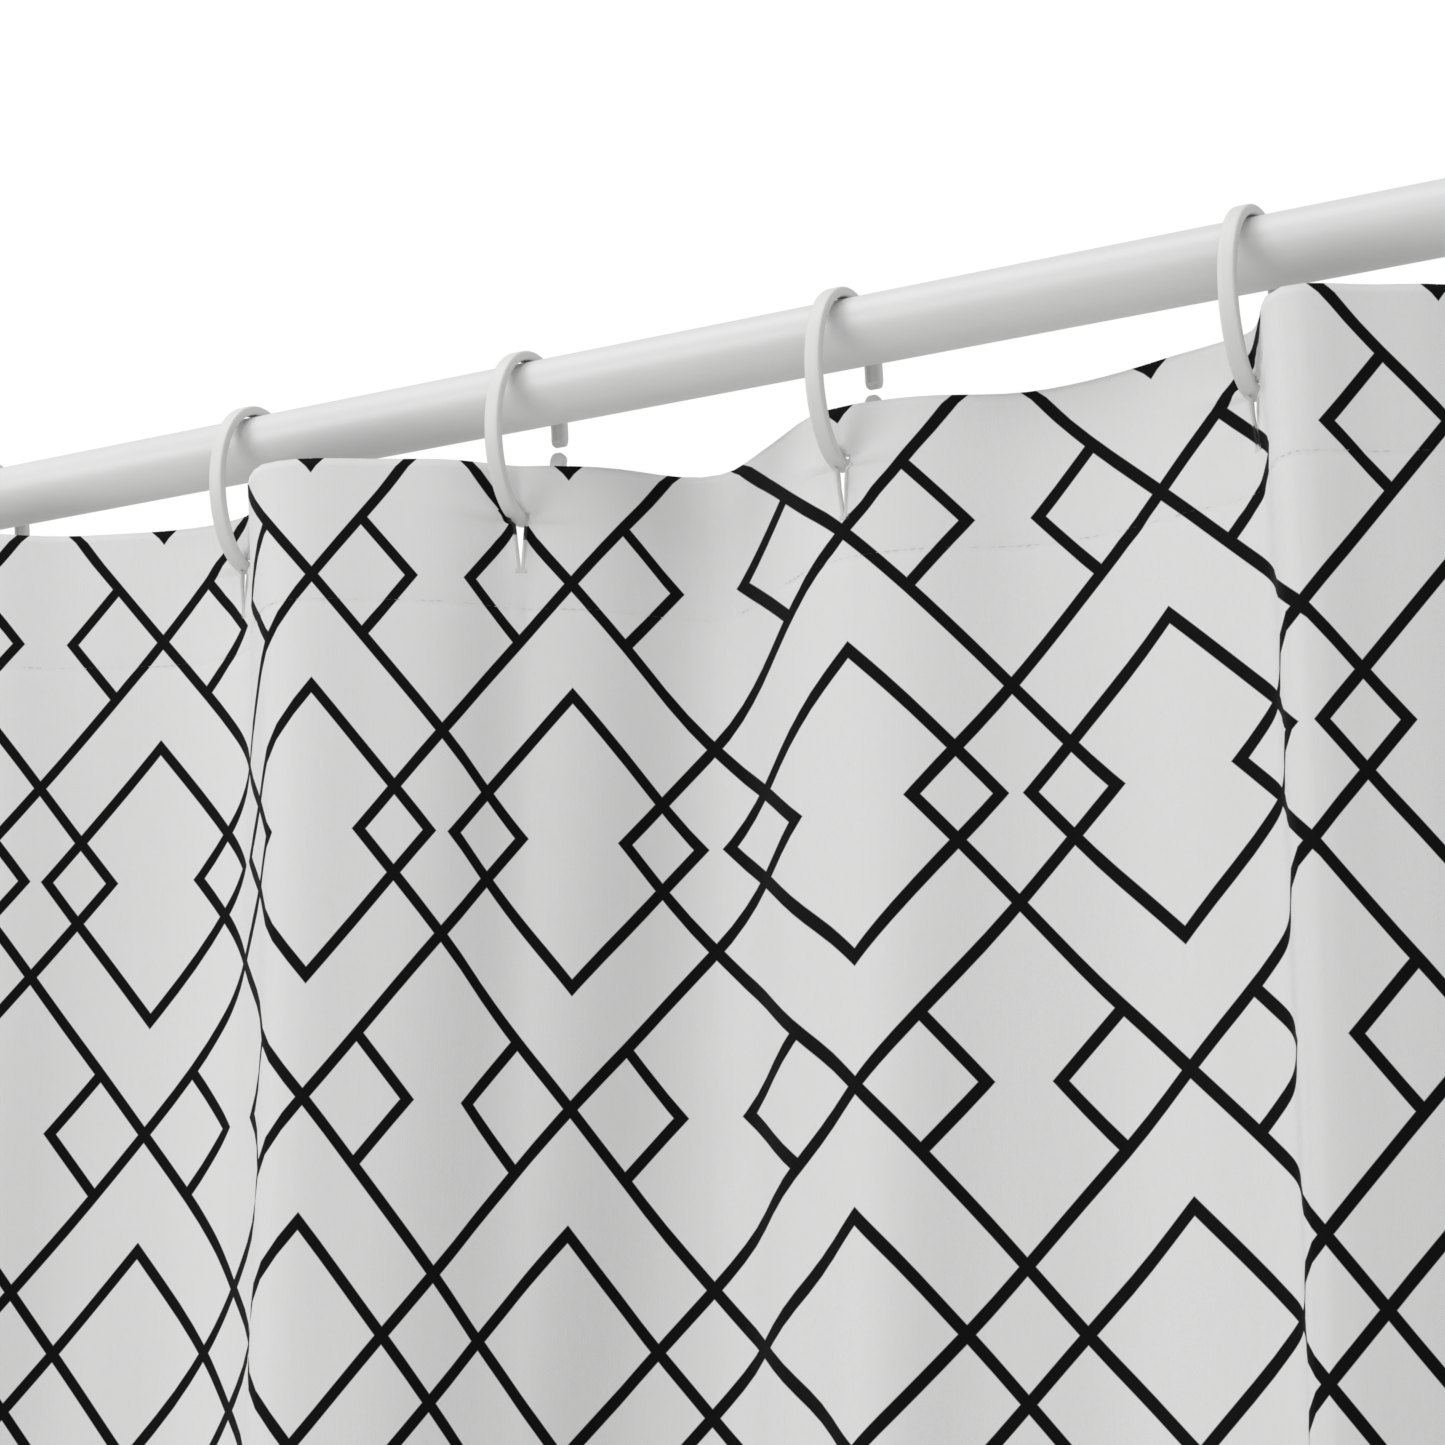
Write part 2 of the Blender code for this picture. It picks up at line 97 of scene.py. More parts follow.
def addCamera(values):
    turn, tilt, roll = (math.radians(values[k]) for k in ("turn", "tilt", "roll"))
    ahead = Vector((-math.sin(turn) * math.cos(tilt), math.cos(turn) * math.cos(tilt), math.sin(tilt)))
    level = Vector((math.cos(turn), math.sin(turn), 0))
    upward = level.cross(ahead)
    right = level * math.cos(roll) + upward * math.sin(roll)
    up = upward * math.cos(roll) - level * math.sin(roll)
    data = bpy.data.cameras.new("camera")
    data.lens = values["lens"]
    data.sensor_width = 36
    data.clip_end = 50
    camera = bpy.data.objects.new("camera", data)
    camera.matrix_world = Matrix((
        (right.x, up.x, -ahead.x, values["place"][0]),
        (right.y, up.y, -ahead.y, values["place"][1]),
        (right.z, up.z, -ahead.z, values["place"][2]),
        (0, 0, 0, 1),
    ))
    bpy.context.scene.collection.objects.link(camera)
    bpy.context.scene.camera = camera


def addLamp(name, place, aim, size, power):
    data = bpy.data.lights.new(name, "AREA")
    data.shape = "RECTANGLE"
    data.size, data.size_y = size
    data.energy = power
    lamp = bpy.data.objects.new(name, data)
    lamp.location = place
    lamp.rotation_euler = (Vector(aim) - Vector(place)).to_track_quat("-Z", "Y").to_euler()
    bpy.context.scene.collection.objects.link(lamp)


def addStudio():
    world = bpy.data.worlds.new("paleStudio")
    world.use_nodes = True
    sky = world.node_tree.nodes["Background"]
    sky.inputs["Color"].default_value = (1.0, 1.0, 1.0, 1.0)
    # white behind the curtain, softer where it only lights
    w = Wires(world.node_tree)
    seen = w.node("ShaderNodeLightPath").outputs["Is Camera Ray"]
    low = studio["ambient"]
    w.feed(sky.inputs["Strength"], w.math("ADD", w.math("MULTIPLY", seen, 1.0 - low), low))
    bpy.context.scene.world = world
    bpy.context.scene.view_settings.view_transform = "Standard"
    middle = (float(ringPlaces.mean()), 0.0, -0.6)
    for name, (where, size, power) in studio["lamps"].items():
        addLamp(name, where, middle, size, power)
    floorMesh = bpy.data.meshes.new("floor")
    half, level = studio["floorHalf"], cadBounds[0][2] - studio["floorDrop"]
    corners = [(x * half, y * half, level) for x, y in ((-1, -1), (1, -1), (1, 1), (-1, 1))]
    floorMesh.from_pydata(corners, [], [(0, 1, 2, 3)])
    floor = bpy.data.objects.new("floor", floorMesh)
    bpy.context.scene.collection.objects.link(floor)
    floorMesh.materials.append(newMaterial("paleFloor", studio["floorPaint"], 0.7))


def newMaterial(name, colour, roughness, metallic=0.0):
    material = bpy.data.materials.new(name)
    material.use_nodes = True
    shader = material.node_tree.nodes["Principled BSDF"]
    shader.inputs["Base Color"].default_value = (*colour, 1.0)
    shader.inputs["Roughness"].default_value = roughness
    shader.inputs["Metallic"].default_value = metallic
    return material


def newGroup(name, inputs, outputs, kind="ShaderNodeTree"):
    group = bpy.data.node_groups.new(name, kind)
    for way, sockets in (("INPUT", inputs), ("OUTPUT", outputs)):
        for label, socket in sockets.items():
            group.interface.new_socket(label, in_out=way, socket_type="NodeSocket" + socket)
    group.nodes.new("NodeGroupInput")
    group.nodes.new("NodeGroupOutput")
    return group


class Wires:
    def __init__(self, tree):
        self.tree = tree

    def feed(self, socket, value):
        if isinstance(value, bpy.types.NodeSocket):
            self.tree.links.new(value, socket)
        else:
            socket.default_value = value

    def math(self, operation, *values):
        node = self.tree.nodes.new("ShaderNodeMath")
        node.operation = operation
        for socket, value in zip(node.inputs, values):
            self.feed(socket, value)
        return node.outputs[0]

    def node(self, kind, **inputs):
        node = self.tree.nodes.new(kind)
        for label, value in inputs.items():
            self.feed(node.inputs[label.replace("_", " ")], value)
        return node


def place(group, material, **inputs):
    node = material.node_tree.nodes.new("ShaderNodeGroup")
    node.node_tree = group
    wires = Wires(material.node_tree)
    for label, value in inputs.items():
        wires.feed(node.inputs[label.replace("_", " ")], value)
    return node


# rhombus print: one unit is a column pitch across and a row unit down
printSizes = {"columnPitch": 0.120, "rowUnit": 0.1204, "firstColumn": 0.019, "firstCrossing": 0.0470,
              "zigzag": 1.63, "tip": 0.362, "square": 0.193, "stroke": 0.026, "softEdge": 0.002}


def printGroup():
    group = newGroup("linePrint", {"Flat": "Vector"}, {"Ink": "Float"})
    w = Wires(group)
    source, result = group.nodes["Group Input"], group.nodes["Group Output"]
    p = printSizes
    period = p["zigzag"] + p["tip"] + 1
    flat = w.node("ShaderNodeSeparateXYZ", Vector=source.outputs["Flat"]).outputs
    column = w.math("DIVIDE", w.math("SUBTRACT", flat[0], p["firstColumn"]), p["columnPitch"])
    beside = w.math("PINGPONG", column, 0.5)           # 0 on a column, 0.5 half way between two
    far = w.math("SUBTRACT", 1.0, beside)
    down = w.math("DIVIDE", w.math("SUBTRACT", flat[1], p["firstCrossing"]), p["rowUnit"])
    down = w.math("FLOORED_MODULO", down, period)
    fromMiddle = w.math("ABSOLUTE", w.math("SUBTRACT", down, p["zigzag"] / 2))
    below = w.math("SUBTRACT", down, p["zigzag"])
    above = w.math("SUBTRACT", period, down)
    nearest = w.math("MINIMUM", down, above)
    toSquare = w.math("ABSOLUTE", w.math("SUBTRACT", beside, p["square"]))
    lines = [
        (beside, fromMiddle, p["zigzag"] / 2), (far, fromMiddle, p["zigzag"] / 2),
        (beside, fromMiddle, p["zigzag"] / 2 - p["tip"]),
        (toSquare, nearest, p["square"]), (toSquare, w.math("ABSOLUTE", below), p["square"]),
        (beside, below, 1.0), (far, below, 1.0), (beside, above, 1.0), (far, above, 1.0),
    ]
    closest = None
    for across, along, size in lines:
        off = w.math("ABSOLUTE", w.math("SUBTRACT", w.math("ADD", across, along), size))
        closest = off if closest is None else w.math("MINIMUM", closest, off)
    edge = w.node("ShaderNodeMapRange", Value=closest)
    edge.inputs["From Min"].default_value = p["stroke"] + p["softEdge"]
    edge.inputs["From Max"].default_value = p["stroke"] - p["softEdge"]
    group.links.new(edge.outputs[0], result.inputs["Ink"])
    return group


# shade is the range the white is scaled over: painted shade in the weave's low places, with the slub's
# own uneven tone
clothLook = {"white": (0.77, 0.77, 0.77), "black": (0.0035, 0.0035, 0.0035), "backInk": 0.20,
             "thread": 0.0006, "slubScale": (900.0, 60.0, 1.0), "shade": (0.965, 1.015),
             "bump": 0.25, "bumpDepth": 0.00020, "roughness": 0.88, "inkSmoother": 0.12,
             "sheen": 0.01, "specular": 0.08}


def weaveGroup():
    inputs, outputs = {"Flat": "Vector", "Thread": "Float"}, {"Height": "Float", "Slub": "Float"}
    group = newGroup("weave", inputs, outputs)
    w = Wires(group)
    source, result = group.nodes["Group Input"], group.nodes["Group Output"]
    scaled = w.tree.nodes.new("ShaderNodeVectorMath")
    scaled.operation = "SCALE"
    group.links.new(source.outputs["Flat"], scaled.inputs[0])
    group.links.new(w.math("DIVIDE", 1.0, source.outputs["Thread"]), scaled.inputs["Scale"])
    xy = w.node("ShaderNodeSeparateXYZ", Vector=scaled.outputs[0]).outputs
    warp = w.math("ABSOLUTE", w.math("SINE", w.math("MULTIPLY", xy[0], math.pi)))
    weft = w.math("ABSOLUTE", w.math("SINE", w.math("MULTIPLY", xy[1], math.pi)))
    cell = w.math("ADD", w.math("FLOOR", xy[0]), w.math("FLOOR", xy[1]))
    over = w.math("LESS_THAN", w.math("FLOORED_MODULO", cell, 3.0), 1.5)   # two over, one under
    height = w.math("ADD", w.math("MULTIPLY", warp, over),
                    w.math("MULTIPLY", weft, w.math("SUBTRACT", 1.0, over)))
    stretched = w.node("ShaderNodeMapping", Vector=source.outputs["Flat"])
    stretched.inputs["Scale"].default_value = clothLook["slubScale"]
    slub = w.node("ShaderNodeTexNoise", Vector=stretched.outputs[0], Scale=1.0, Detail=2.0)
    group.links.new(height, result.inputs["Height"])
    group.links.new(slub.outputs[0], result.inputs["Slub"])
    return group


# unevenness of powder coat and moulded plastic
moulding = {"cloudScale": 28.0, "mottle": 0.03, "roughMottle": 0.05, "grainDepth": 0.00008}


def grainGroup():
    inputs, outputs = {"Place": "Vector", "Scale": "Float"}, {"Height": "Float", "Cloud": "Float"}
    group = newGroup("mouldGrain", inputs, outputs)
    w = Wires(group)
    source, result = group.nodes["Group Input"], group.nodes["Group Output"]
    where = source.outputs["Place"]
    fine = w.node("ShaderNodeTexNoise", Vector=where, Scale=source.outputs["Scale"], Detail=3.0)
    cloud = w.node("ShaderNodeTexNoise", Vector=where, Scale=moulding["cloudScale"], Detail=4.0)
    group.links.new(fine.outputs[0], result.inputs["Height"])
    group.links.new(cloud.outputs[0], result.inputs["Cloud"])
    return group


def clothMaterial(name, inkShare, printed, woven):
    material = newMaterial(name, clothLook["white"], clothLook["roughness"])
    tree = material.node_tree
    w = Wires(tree)
    shader = tree.nodes["Principled BSDF"]
    shader.inputs["Sheen Weight"].default_value = clothLook["sheen"]
    shader.inputs["Specular IOR Level"].default_value = clothLook["specular"]
    uv = w.node("ShaderNodeUVMap").outputs[0]
    uv.node.uv_map = "flat"
    laid = w.node("ShaderNodeUVMap").outputs[0]
    laid.node.uv_map = "print"
    ink = place(printed, material, Flat=laid).outputs["Ink"]
    cloth = place(woven, material, Flat=uv, Thread=clothLook["thread"])
    # painted shade: the white is darkened where the weave's threads dip low, and the slub varies it as
    # the yarn's own uneven tone
    slub = w.math("MULTIPLY", cloth.outputs["Slub"], 0.5)
    yarn = w.math("ADD", w.math("MULTIPLY", cloth.outputs["Height"], 0.5), slub)
    shade = w.node("ShaderNodeMapRange", Value=yarn)
    shade.inputs["To Min"].default_value, shade.inputs["To Max"].default_value = clothLook["shade"]
    body = tree.nodes.new("ShaderNodeVectorMath")
    body.operation = "SCALE"
    body.inputs[0].default_value = clothLook["white"]
    tree.links.new(shade.outputs[0], body.inputs["Scale"])
    mix = tree.nodes.new("ShaderNodeMix")
    mix.data_type = "RGBA"
    tree.links.new(w.math("MULTIPLY", ink, inkShare), mix.inputs["Factor"])
    tree.links.new(body.outputs[0], mix.inputs["A"])
    mix.inputs["B"].default_value = (*clothLook["black"], 1.0)
    tree.links.new(mix.outputs["Result"], shader.inputs["Base Color"])
    rough = w.math("SUBTRACT", clothLook["roughness"], w.math("MULTIPLY", ink, clothLook["inkSmoother"]))
    tree.links.new(rough, shader.inputs["Roughness"])
    bump = tree.nodes.new("ShaderNodeBump")
    bump.inputs["Strength"].default_value = clothLook["bump"]
    bump.inputs["Distance"].default_value = clothLook["bumpDepth"]
    tree.links.new(yarn, bump.inputs["Height"])
    tree.links.new(bump.outputs[0], shader.inputs["Normal"])
    return material


# colour, roughness, strength and scale of the grain
finishes = {
    "rodPowderCoat": ((0.745, 0.745, 0.745), 0.40, 0.15, 1400.0),
    "ringPlastic": ((0.74, 0.74, 0.735), 0.48, 0.15, 2200.0),
    "fittingPlastic": ((0.78, 0.78, 0.77), 0.42, 0.12, 1800.0),
    "zincScrew": ((0.60, 0.60, 0.61), 0.32, 0.2, 3000.0),
    "sewingThread": ((0.76, 0.76, 0.755), 0.8, 0.4, 5000.0),
}


def mouldedMaterial(name, grain):
    colour, roughness, strength, scale = finishes[name]
    material = newMaterial(name, colour, roughness)
    tree = material.node_tree
    w = Wires(tree)
    shader = tree.nodes["Principled BSDF"]
    where = w.node("ShaderNodeTexCoord").outputs["Object"]
    effect = place(grain, material, Place=where, Scale=scale)
    shade = w.node("ShaderNodeMapRange", Value=effect.outputs["Cloud"])
    shade.inputs["To Min"].default_value = 1 - moulding["mottle"]
    shade.inputs["To Max"].default_value = 1 + moulding["mottle"]
    body = tree.nodes.new("ShaderNodeVectorMath")
    body.operation = "SCALE"
    body.inputs[0].default_value = colour
    tree.links.new(shade.outputs[0], body.inputs["Scale"])
    tree.links.new(body.outputs[0], shader.inputs["Base Color"])
    rough = w.node("ShaderNodeMapRange", Value=effect.outputs["Cloud"])
    rough.inputs["To Min"].default_value = roughness - moulding["roughMottle"]
    rough.inputs["To Max"].default_value = roughness + moulding["roughMottle"]
    tree.links.new(rough.outputs[0], shader.inputs["Roughness"])
    bump = tree.nodes.new("ShaderNodeBump")
    bump.inputs["Strength"].default_value = strength
    bump.inputs["Distance"].default_value = moulding["grainDepth"]
    tree.links.new(effect.outputs["Height"], bump.inputs["Height"])
    tree.links.new(bump.outputs[0], shader.inputs["Normal"])
    return material


def makeMaterials():
    printed, woven, grain = printGroup(), weaveGroup(), grainGroup()
    return {
        "cloth": clothMaterial("printedCloth", 1.0, printed, woven),
        "reverse": clothMaterial("clothReverse", clothLook["backInk"], printed, woven),
        "rod": mouldedMaterial("rodPowderCoat", grain),
        "ring": mouldedMaterial("ringPlastic", grain),
        "fitting": mouldedMaterial("fittingPlastic", grain),
        "steel": steelMaterial(grain),
        "thread": threadMaterial(printed, grain),
    }


threadLook = {"specular": 0.08, "inkShare": 0.93}


def threadMaterial(printed, grain):
    material = mouldedMaterial("sewingThread", grain)
    tree = material.node_tree
    w = Wires(tree)
    shader = tree.nodes["Principled BSDF"]
    shader.inputs["Specular IOR Level"].default_value = threadLook["specular"]
    where = w.node("ShaderNodeAttribute")
    where.attribute_name = "laid"
    ink = place(printed, material, Flat=where.outputs["Vector"]).outputs["Ink"]
    white = shader.inputs["Base Color"].links[0].from_socket
    mix = tree.nodes.new("ShaderNodeMix")
    mix.data_type = "RGBA"
    tree.links.new(w.math("MULTIPLY", ink, threadLook["inkShare"]), mix.inputs["Factor"])
    tree.links.new(white, mix.inputs["A"])
    mix.inputs["B"].default_value = (*clothLook["black"], 1.0)
    tree.links.new(mix.outputs["Result"], shader.inputs["Base Color"])
    return material


def steelMaterial(grain):
    material = mouldedMaterial("zincScrew", grain)
    material.node_tree.nodes["Principled BSDF"].inputs["Metallic"].default_value = 1.0
    return material


def addObject(name, mesh):
    made = bpy.data.objects.new(name, mesh)
    bpy.context.scene.collection.objects.link(made)
    return made


def settled(made):
    # the object with its modifiers turned into a plain mesh
    graph = bpy.context.evaluated_depsgraph_get()
    mesh = bpy.data.meshes.new_from_object(
        made.evaluated_get(graph), preserve_all_data_layers=True, depsgraph=graph)
    old = made.data
    made.modifiers.clear()
    made.data = mesh
    bpy.data.meshes.remove(old)
    return made


def finish(name, mesh, material, body, node):
    made = addObject(name, mesh)
    mesh.materials.clear()
    mesh.materials.append(material)
    mesh.shade_smooth()
    mesh.set_sharp_from_angle(angle=math.radians(38))
    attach(made, body)
    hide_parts(node)
    return made


def turned(name, profile, steps):
    # outline of (x, radius) points turned about the x axis
    bm = bmesh.new()
    outline = [bm.verts.new((x, 0, r)) for x, r in profile]
    onAxis = profile[0][1] == 0 and profile[-1][1] == 0
    for pair in zip(outline, outline[1:] if onAxis else outline[1:] + outline[:1]):
        bm.edges.new(pair)
    bmesh.ops.spin(bm, geom=bm.verts[:] + bm.edges[:], cent=(0, 0, 0), axis=(1, 0, 0),
                   angle=2 * math.pi, steps=steps, use_merge=True)
    bmesh.ops.remove_doubles(bm, verts=bm.verts, dist=1e-7)
    bmesh.ops.recalc_face_normals(bm, faces=bm.faces)
    mesh = bpy.data.meshes.new(name)
    bm.to_mesh(mesh)
    bm.free()
    return mesh


def rounded(profile, corners, steps=4):
    # replaces the listed corners of an outline by arcs: {index: radius}
    out = []
    for n, point in enumerate(profile):
        if n not in corners:
            out.append(point)
            continue
        here = Vector(point)
        before = (Vector(profile[n - 1]) - here).normalized() * corners[n]
        after = (Vector(profile[(n + 1) % len(profile)]) - here).normalized() * corners[n]
        for k in range(steps + 1):
            t = k / steps
            out.append(tuple(here + before * (1 - t) ** 2 + after * t ** 2))
    return out


cloth = {"width": 1.80, "height": 2.00, "thickness": 0.00045, "sideMargin": 0.020,
         "lowerGather": 0.05, "holeSlope": 0.7, "atRings": -0.004, "relax": 0.30, "lean": 0.030,
         "cell": 0.0100, "drop": 0.0125, "perStretch": 16, "columnStep": 0.008, "rowStep": 0.016,
         "firstDepth": 0.2, "solveRounds": 30}
# for each span between two rings: places along it and how far the cloth stands out there,
# as a share of that fold's depth, which follows from the cloth's length; -1 is forwards
folds = [
    [(0.52, 1)],
    [(0.30, -1), (0.62, -0.55)],
    [(0.50, 1)],
    [(0.17, -1), (0.45, -0.30), (0.75, 0.08)],
    [(0.34, -1), (0.57, -0.78), (0.84, -0.38)],
    [(0.24, 0.55), (0.46, 1), (0.74, 0.45)],
    [(0.25, 0.42), (0.53, 1), (0.80, 0.45)],
    [(0.19, -1), (0.45, -0.50), (0.80, 0.40)],
    [(0.50, 1)],
    [(0.38, -1), (0.70, -0.50)],
    [(0.52, 1)],
]
# where each fold's crest settles far below the rings
crestsBelow = [0.50, 0.40, 0.50, 0.26, 0.58, 0.45, 0.52, 0.04, 0.50, 0.42, 0.50]
# open where the ring passes, then a narrow V down to its end; top and end count from the
# cloth's top edge
buttonhole = {"top": 0.0182, "end": 0.0410, "open": 0.0066, "ringThick": 0.0042, "below": 0.0034,
              "topSlope": 0.0006, "ringSlope": 0.0012, "spread": 0.014}
hems = {"top": 0.058, "bottom": 0.030, "side": 0.009, "gap": 0.00010, "thickness": 0.00035,
        "clear": 0.0004}
# heights of waves, hem ripples and puckers round the buttonholes, with how far each reaches
unevenness = {"seed": 7, "waves": 14, "wide": (0.05, 0.16), "tall": (0.5, 1.8), "lean": 0.25,
              "wave": 0.00045, "ripple": 0.00022, "ripplePitch": 0.011,
              "rippleReach": 0.006, "crease": 0.00016, "creaseReach": 0.0012, "pucker": 0.0008,
              "puckerReach": 0.020, "puckerStart": 0.006, "puckerDrop": 0.004, "puckerRays": 7}

holePitch = (cloth["width"] - 2 * cloth["sideMargin"]) / (ringCount - 1)
holePlaces = cloth["sideMargin"] + holePitch * np.arange(ringCount)


def smoothLine(points, atRing, ringSlope):
    # curve through the points in plan, with its slope eased where a ring holds the cloth
    chords = np.linalg.norm(np.diff(points, axis=0), axis=1)
    steps = np.diff(points, axis=0) / chords[:, None]
    slopes = np.empty_like(points)
    slopes[0], slopes[-1] = steps[0], steps[-1]
    before, after = chords[:-1, None], chords[1:, None]
    slopes[1:-1] = (steps[:-1] * after + steps[1:] * before) / (before + after)
    slopes[atRing, 1] *= ringSlope
    t = (np.arange(1, cloth["perStretch"] + 1) / cloth["perStretch"])[:, None]
    line = [points[:1]]
    for n, chord in enumerate(chords):
        start = points[n] * (2 * t**3 - 3 * t**2 + 1) + slopes[n] * chord * (t**3 - 2 * t**2 + t)
        line.append(start + points[n + 1] * (3 * t**2 - 2 * t**3)
                    + slopes[n + 1] * chord * (t**3 - t**2))
    return np.vstack(line)


def foldLine(down):
    # plan of the cloth at one distance below its top edge
    middle = sizeOf("rod_tube")[0] / 2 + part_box("rod_tube")[0][0]
    draw = 1 - cloth["lowerGather"] * down / cloth["height"]
    free = 1 - math.exp(-down / cloth["relax"])
    rings = middle + (ringPlaces - middle) * draw + cloth["lean"] * free
    gaps = np.diff(rings)
    margin, home, perStretch = cloth["sideMargin"], cloth["atRings"], cloth["perStretch"]
    ringSlope = 1 - (1 - free) * (1 - cloth["holeSlope"])
    # the folds deepen or flatten until each span holds just one hole pitch of cloth
    depths = np.full(len(gaps), holePitch * cloth["firstDepth"])
    for _ in range(cloth["solveRounds"]):
        points, atRing = [(rings[0] - margin, home), (rings[0], home)], [1]
        for n, fold in enumerate(folds):
            crest = max(fold, key=lambda stop: abs(stop[1]))[0]
            moved = crest + (crestsBelow[n] - crest) * free
            bend = math.log(moved) / math.log(crest)
            for share, out in fold:
                points.append((rings[n] + gaps[n] * share ** bend, home + out * depths[n]))
            points.append((rings[n + 1], home))
            atRing.append(len(points) - 1)
        points.append((rings[-1] + margin, home))
        line = smoothLine(np.array(points), atRing, ringSlope)
        for n, (one, two) in enumerate(zip(atRing, atRing[1:])):
            part = line[perStretch * one:perStretch * two + 1]
            length = np.linalg.norm(np.diff(part, axis=0), axis=1).sum()
            depths[n] *= math.sqrt((holePitch - gaps[n]) / (length - gaps[n]))
    steps = np.linalg.norm(np.diff(line, axis=0), axis=1)
    places = np.concatenate([[0], np.cumsum(steps)])
    knots = [0] + [perStretch * k for k in atRing] + [len(line) - 1]
    flat = np.concatenate([[0], holePlaces, [cloth["width"]]])
    return np.interp(places, places[knots], flat), line


def hangCage():
    # the cloth's middle surface on a regular grid over its flat cut
    columns = np.linspace(0, cloth["width"], round(cloth["width"] / cloth["cell"]) + 1)
    rows = np.linspace(0, cloth["height"], round(cloth["height"] / cloth["drop"]) + 1)
    grid = np.empty((len(rows), len(columns), 3))
    for n, down in enumerate(rows):
        flat, line = foldLine(down)
        grid[n, :, 0] = np.interp(columns, flat, line[:, 0])
        grid[n, :, 1] = np.interp(columns, flat, line[:, 1])
        grid[n, :, 2] = clothTop - down
    return columns, rows, grid


class ClothShape:
    # smooth surface through the cage, addressed by flat places across and down
    def __init__(self, columns, rows, grid):
        self.columns, self.rows, self.grid = columns, rows, grid

    def weights(self, lines, places):
        step = lines[1] - lines[0]
        at = np.clip(places / step, 0, len(lines) - 1)
        n = np.clip(np.floor(at).astype(int), 0, len(lines) - 2)
        t = at - n
        index = np.clip(np.stack([n - 1, n, n + 1, n + 2]), 0, len(lines) - 1)
        shares = [-t**3 + 2 * t**2 - t, 3 * t**3 - 5 * t**2 + 2, -3 * t**3 + 4 * t**2 + t, t**3 - t**2]
        return index, np.stack(shares) / 2

    def at(self, across, down):
        ci, cw = self.weights(self.columns, across)
        ri, rw = self.weights(self.rows, down)
        out = 0
        for a in range(4):
            for b in range(4):
                out = out + self.grid[ri[a], ci[b]] * (rw[a] * cw[b])[..., None]
        return out

    def normal(self, across, down):
        # towards the front of the cloth
        e = 0.002
        width, height = cloth["width"], cloth["height"]
        du = self.at(np.minimum(across + e, width), down) - self.at(np.maximum(across - e, 0), down)
        dv = self.at(across, np.minimum(down + e, height)) - self.at(across, np.maximum(down - e, 0))
        n = np.cross(dv, du)
        return n / np.linalg.norm(n, axis=-1, keepdims=True)


def slitWidth(down):
    b = buttonhole
    into = np.clip((down - b["top"]) / b["topSlope"], 0, 1)
    past = np.clip((down - b["top"] - b["ringThick"]) / b["ringSlope"], 0, 1)
    narrow = np.clip((b["end"] - down) / (b["end"] - b["top"] - b["ringThick"]), 0, 1)
    return into * (b["open"] * (1 - past) + b["below"] * narrow * past)


def openSlits(across, down, side):
    # pushes the cloth aside where a ring holds its buttonhole open
    moved = across.copy()
    for hole in holePlaces:
        off = across - hole
        way = np.where(off == 0, side, np.sign(off))
        near = np.clip(1 - np.abs(off) / buttonhole["spread"], 0, 1) ** 2
        moved += way * slitWidth(down) / 2 * near
    return moved


def relief(across, down):
    # small unevenness of sewn and hung cloth, in metres towards the front
    n = unevenness
    rng = np.random.default_rng(n["seed"])
    out = np.zeros_like(across)
    for _ in range(n["waves"]):
        wide, tall = rng.uniform(*n["wide"]), rng.uniform(*n["tall"])
        phase, lean = rng.uniform(0, 6.28), rng.uniform(-n["lean"], n["lean"])
        out += n["wave"] * np.sin(2 * math.pi * (across / wide + (down + lean * across) / tall) + phase)
    seam = down - hems["top"]
    ripple = np.sin(2 * math.pi * across / n["ripplePitch"] + 2.2 * np.sin(across * 61))
    out += n["ripple"] * ripple * np.exp(-(seam / n["rippleReach"]) ** 2)
    out -= n["crease"] * np.exp(-(seam / n["creaseReach"]) ** 2)
    for hole in holePlaces:
        x, y = across - hole, down - buttonhole["top"] - n["puckerDrop"]
        r = np.hypot(x, y)
        angle = np.arctan2(y, x)
        fade = np.exp(-(r / n["puckerReach"]) ** 2) * np.clip(r / n["puckerStart"], 0, 1)
        out += n["pucker"] * fade * np.cos(n["puckerRays"] * angle + hole * 40)
    return out


# how the printed columns lie on the cloth: eased by the depth of the folds, and drifting
# towards the left side around one place
laying = {"ease": 0.45, "shift": -0.002, "drift": 0.0105, "driftLength": 0.50, "driftPlace": 0.80}


def laidPlace(shape, across, down):
    along = np.clip((across - laying["driftPlace"]) / laying["driftLength"], -0.5, 0.5)
    drift = laying["drift"] * (1 + np.cos(2 * math.pi * along))
    return across + laying["ease"] * shape.at(across, down)[..., 1] + drift + laying["shift"]


def spaced(marks, step, low, high):
    # lines between low and high that include the marks, no further apart than step
    marks = sorted({low, high, *[m for m in marks if low < m < high]})
    lines = [marks[0]]
    for a, b in zip(marks, marks[1:]):
        parts = max(1, math.ceil((b - a) / step - 1e-6))
        lines += [a + (b - a) * (k + 1) / parts for k in range(parts)]
    return np.array(lines)


def clothColumns(low, high):
    beside = (0.0013, 0.003, 0.0055, 0.009, 0.014)
    marks = [hems["side"], cloth["width"] - hems["side"]]
    for hole in holePlaces:
        marks += [hole, *[hole - d for d in beside], *[hole + d for d in beside]]
    return spaced(marks, cloth["columnStep"], low, high)


def clothRows(low, high):
    b, seam = buttonhole, hems["top"]
    marks = [0.004, 0.009, 0.013, 0.051, 0.066, 0.076, 0.088, 0.100]
    marks += [b["top"] + d for d in (0, 0.0006, 0.0024, 0.0042, 0.0048, 0.0054)]
    marks += [b["end"] + d for d in (-0.010, -0.006, -0.0025, 0, 0.003)]
    marks += [seam + d for d in (-0.0025, -0.001, 0, 0.001, 0.0025)]
    marks.append(cloth["height"] - hems["bottom"])
    return spaced(marks, cloth["rowStep"], low, high)


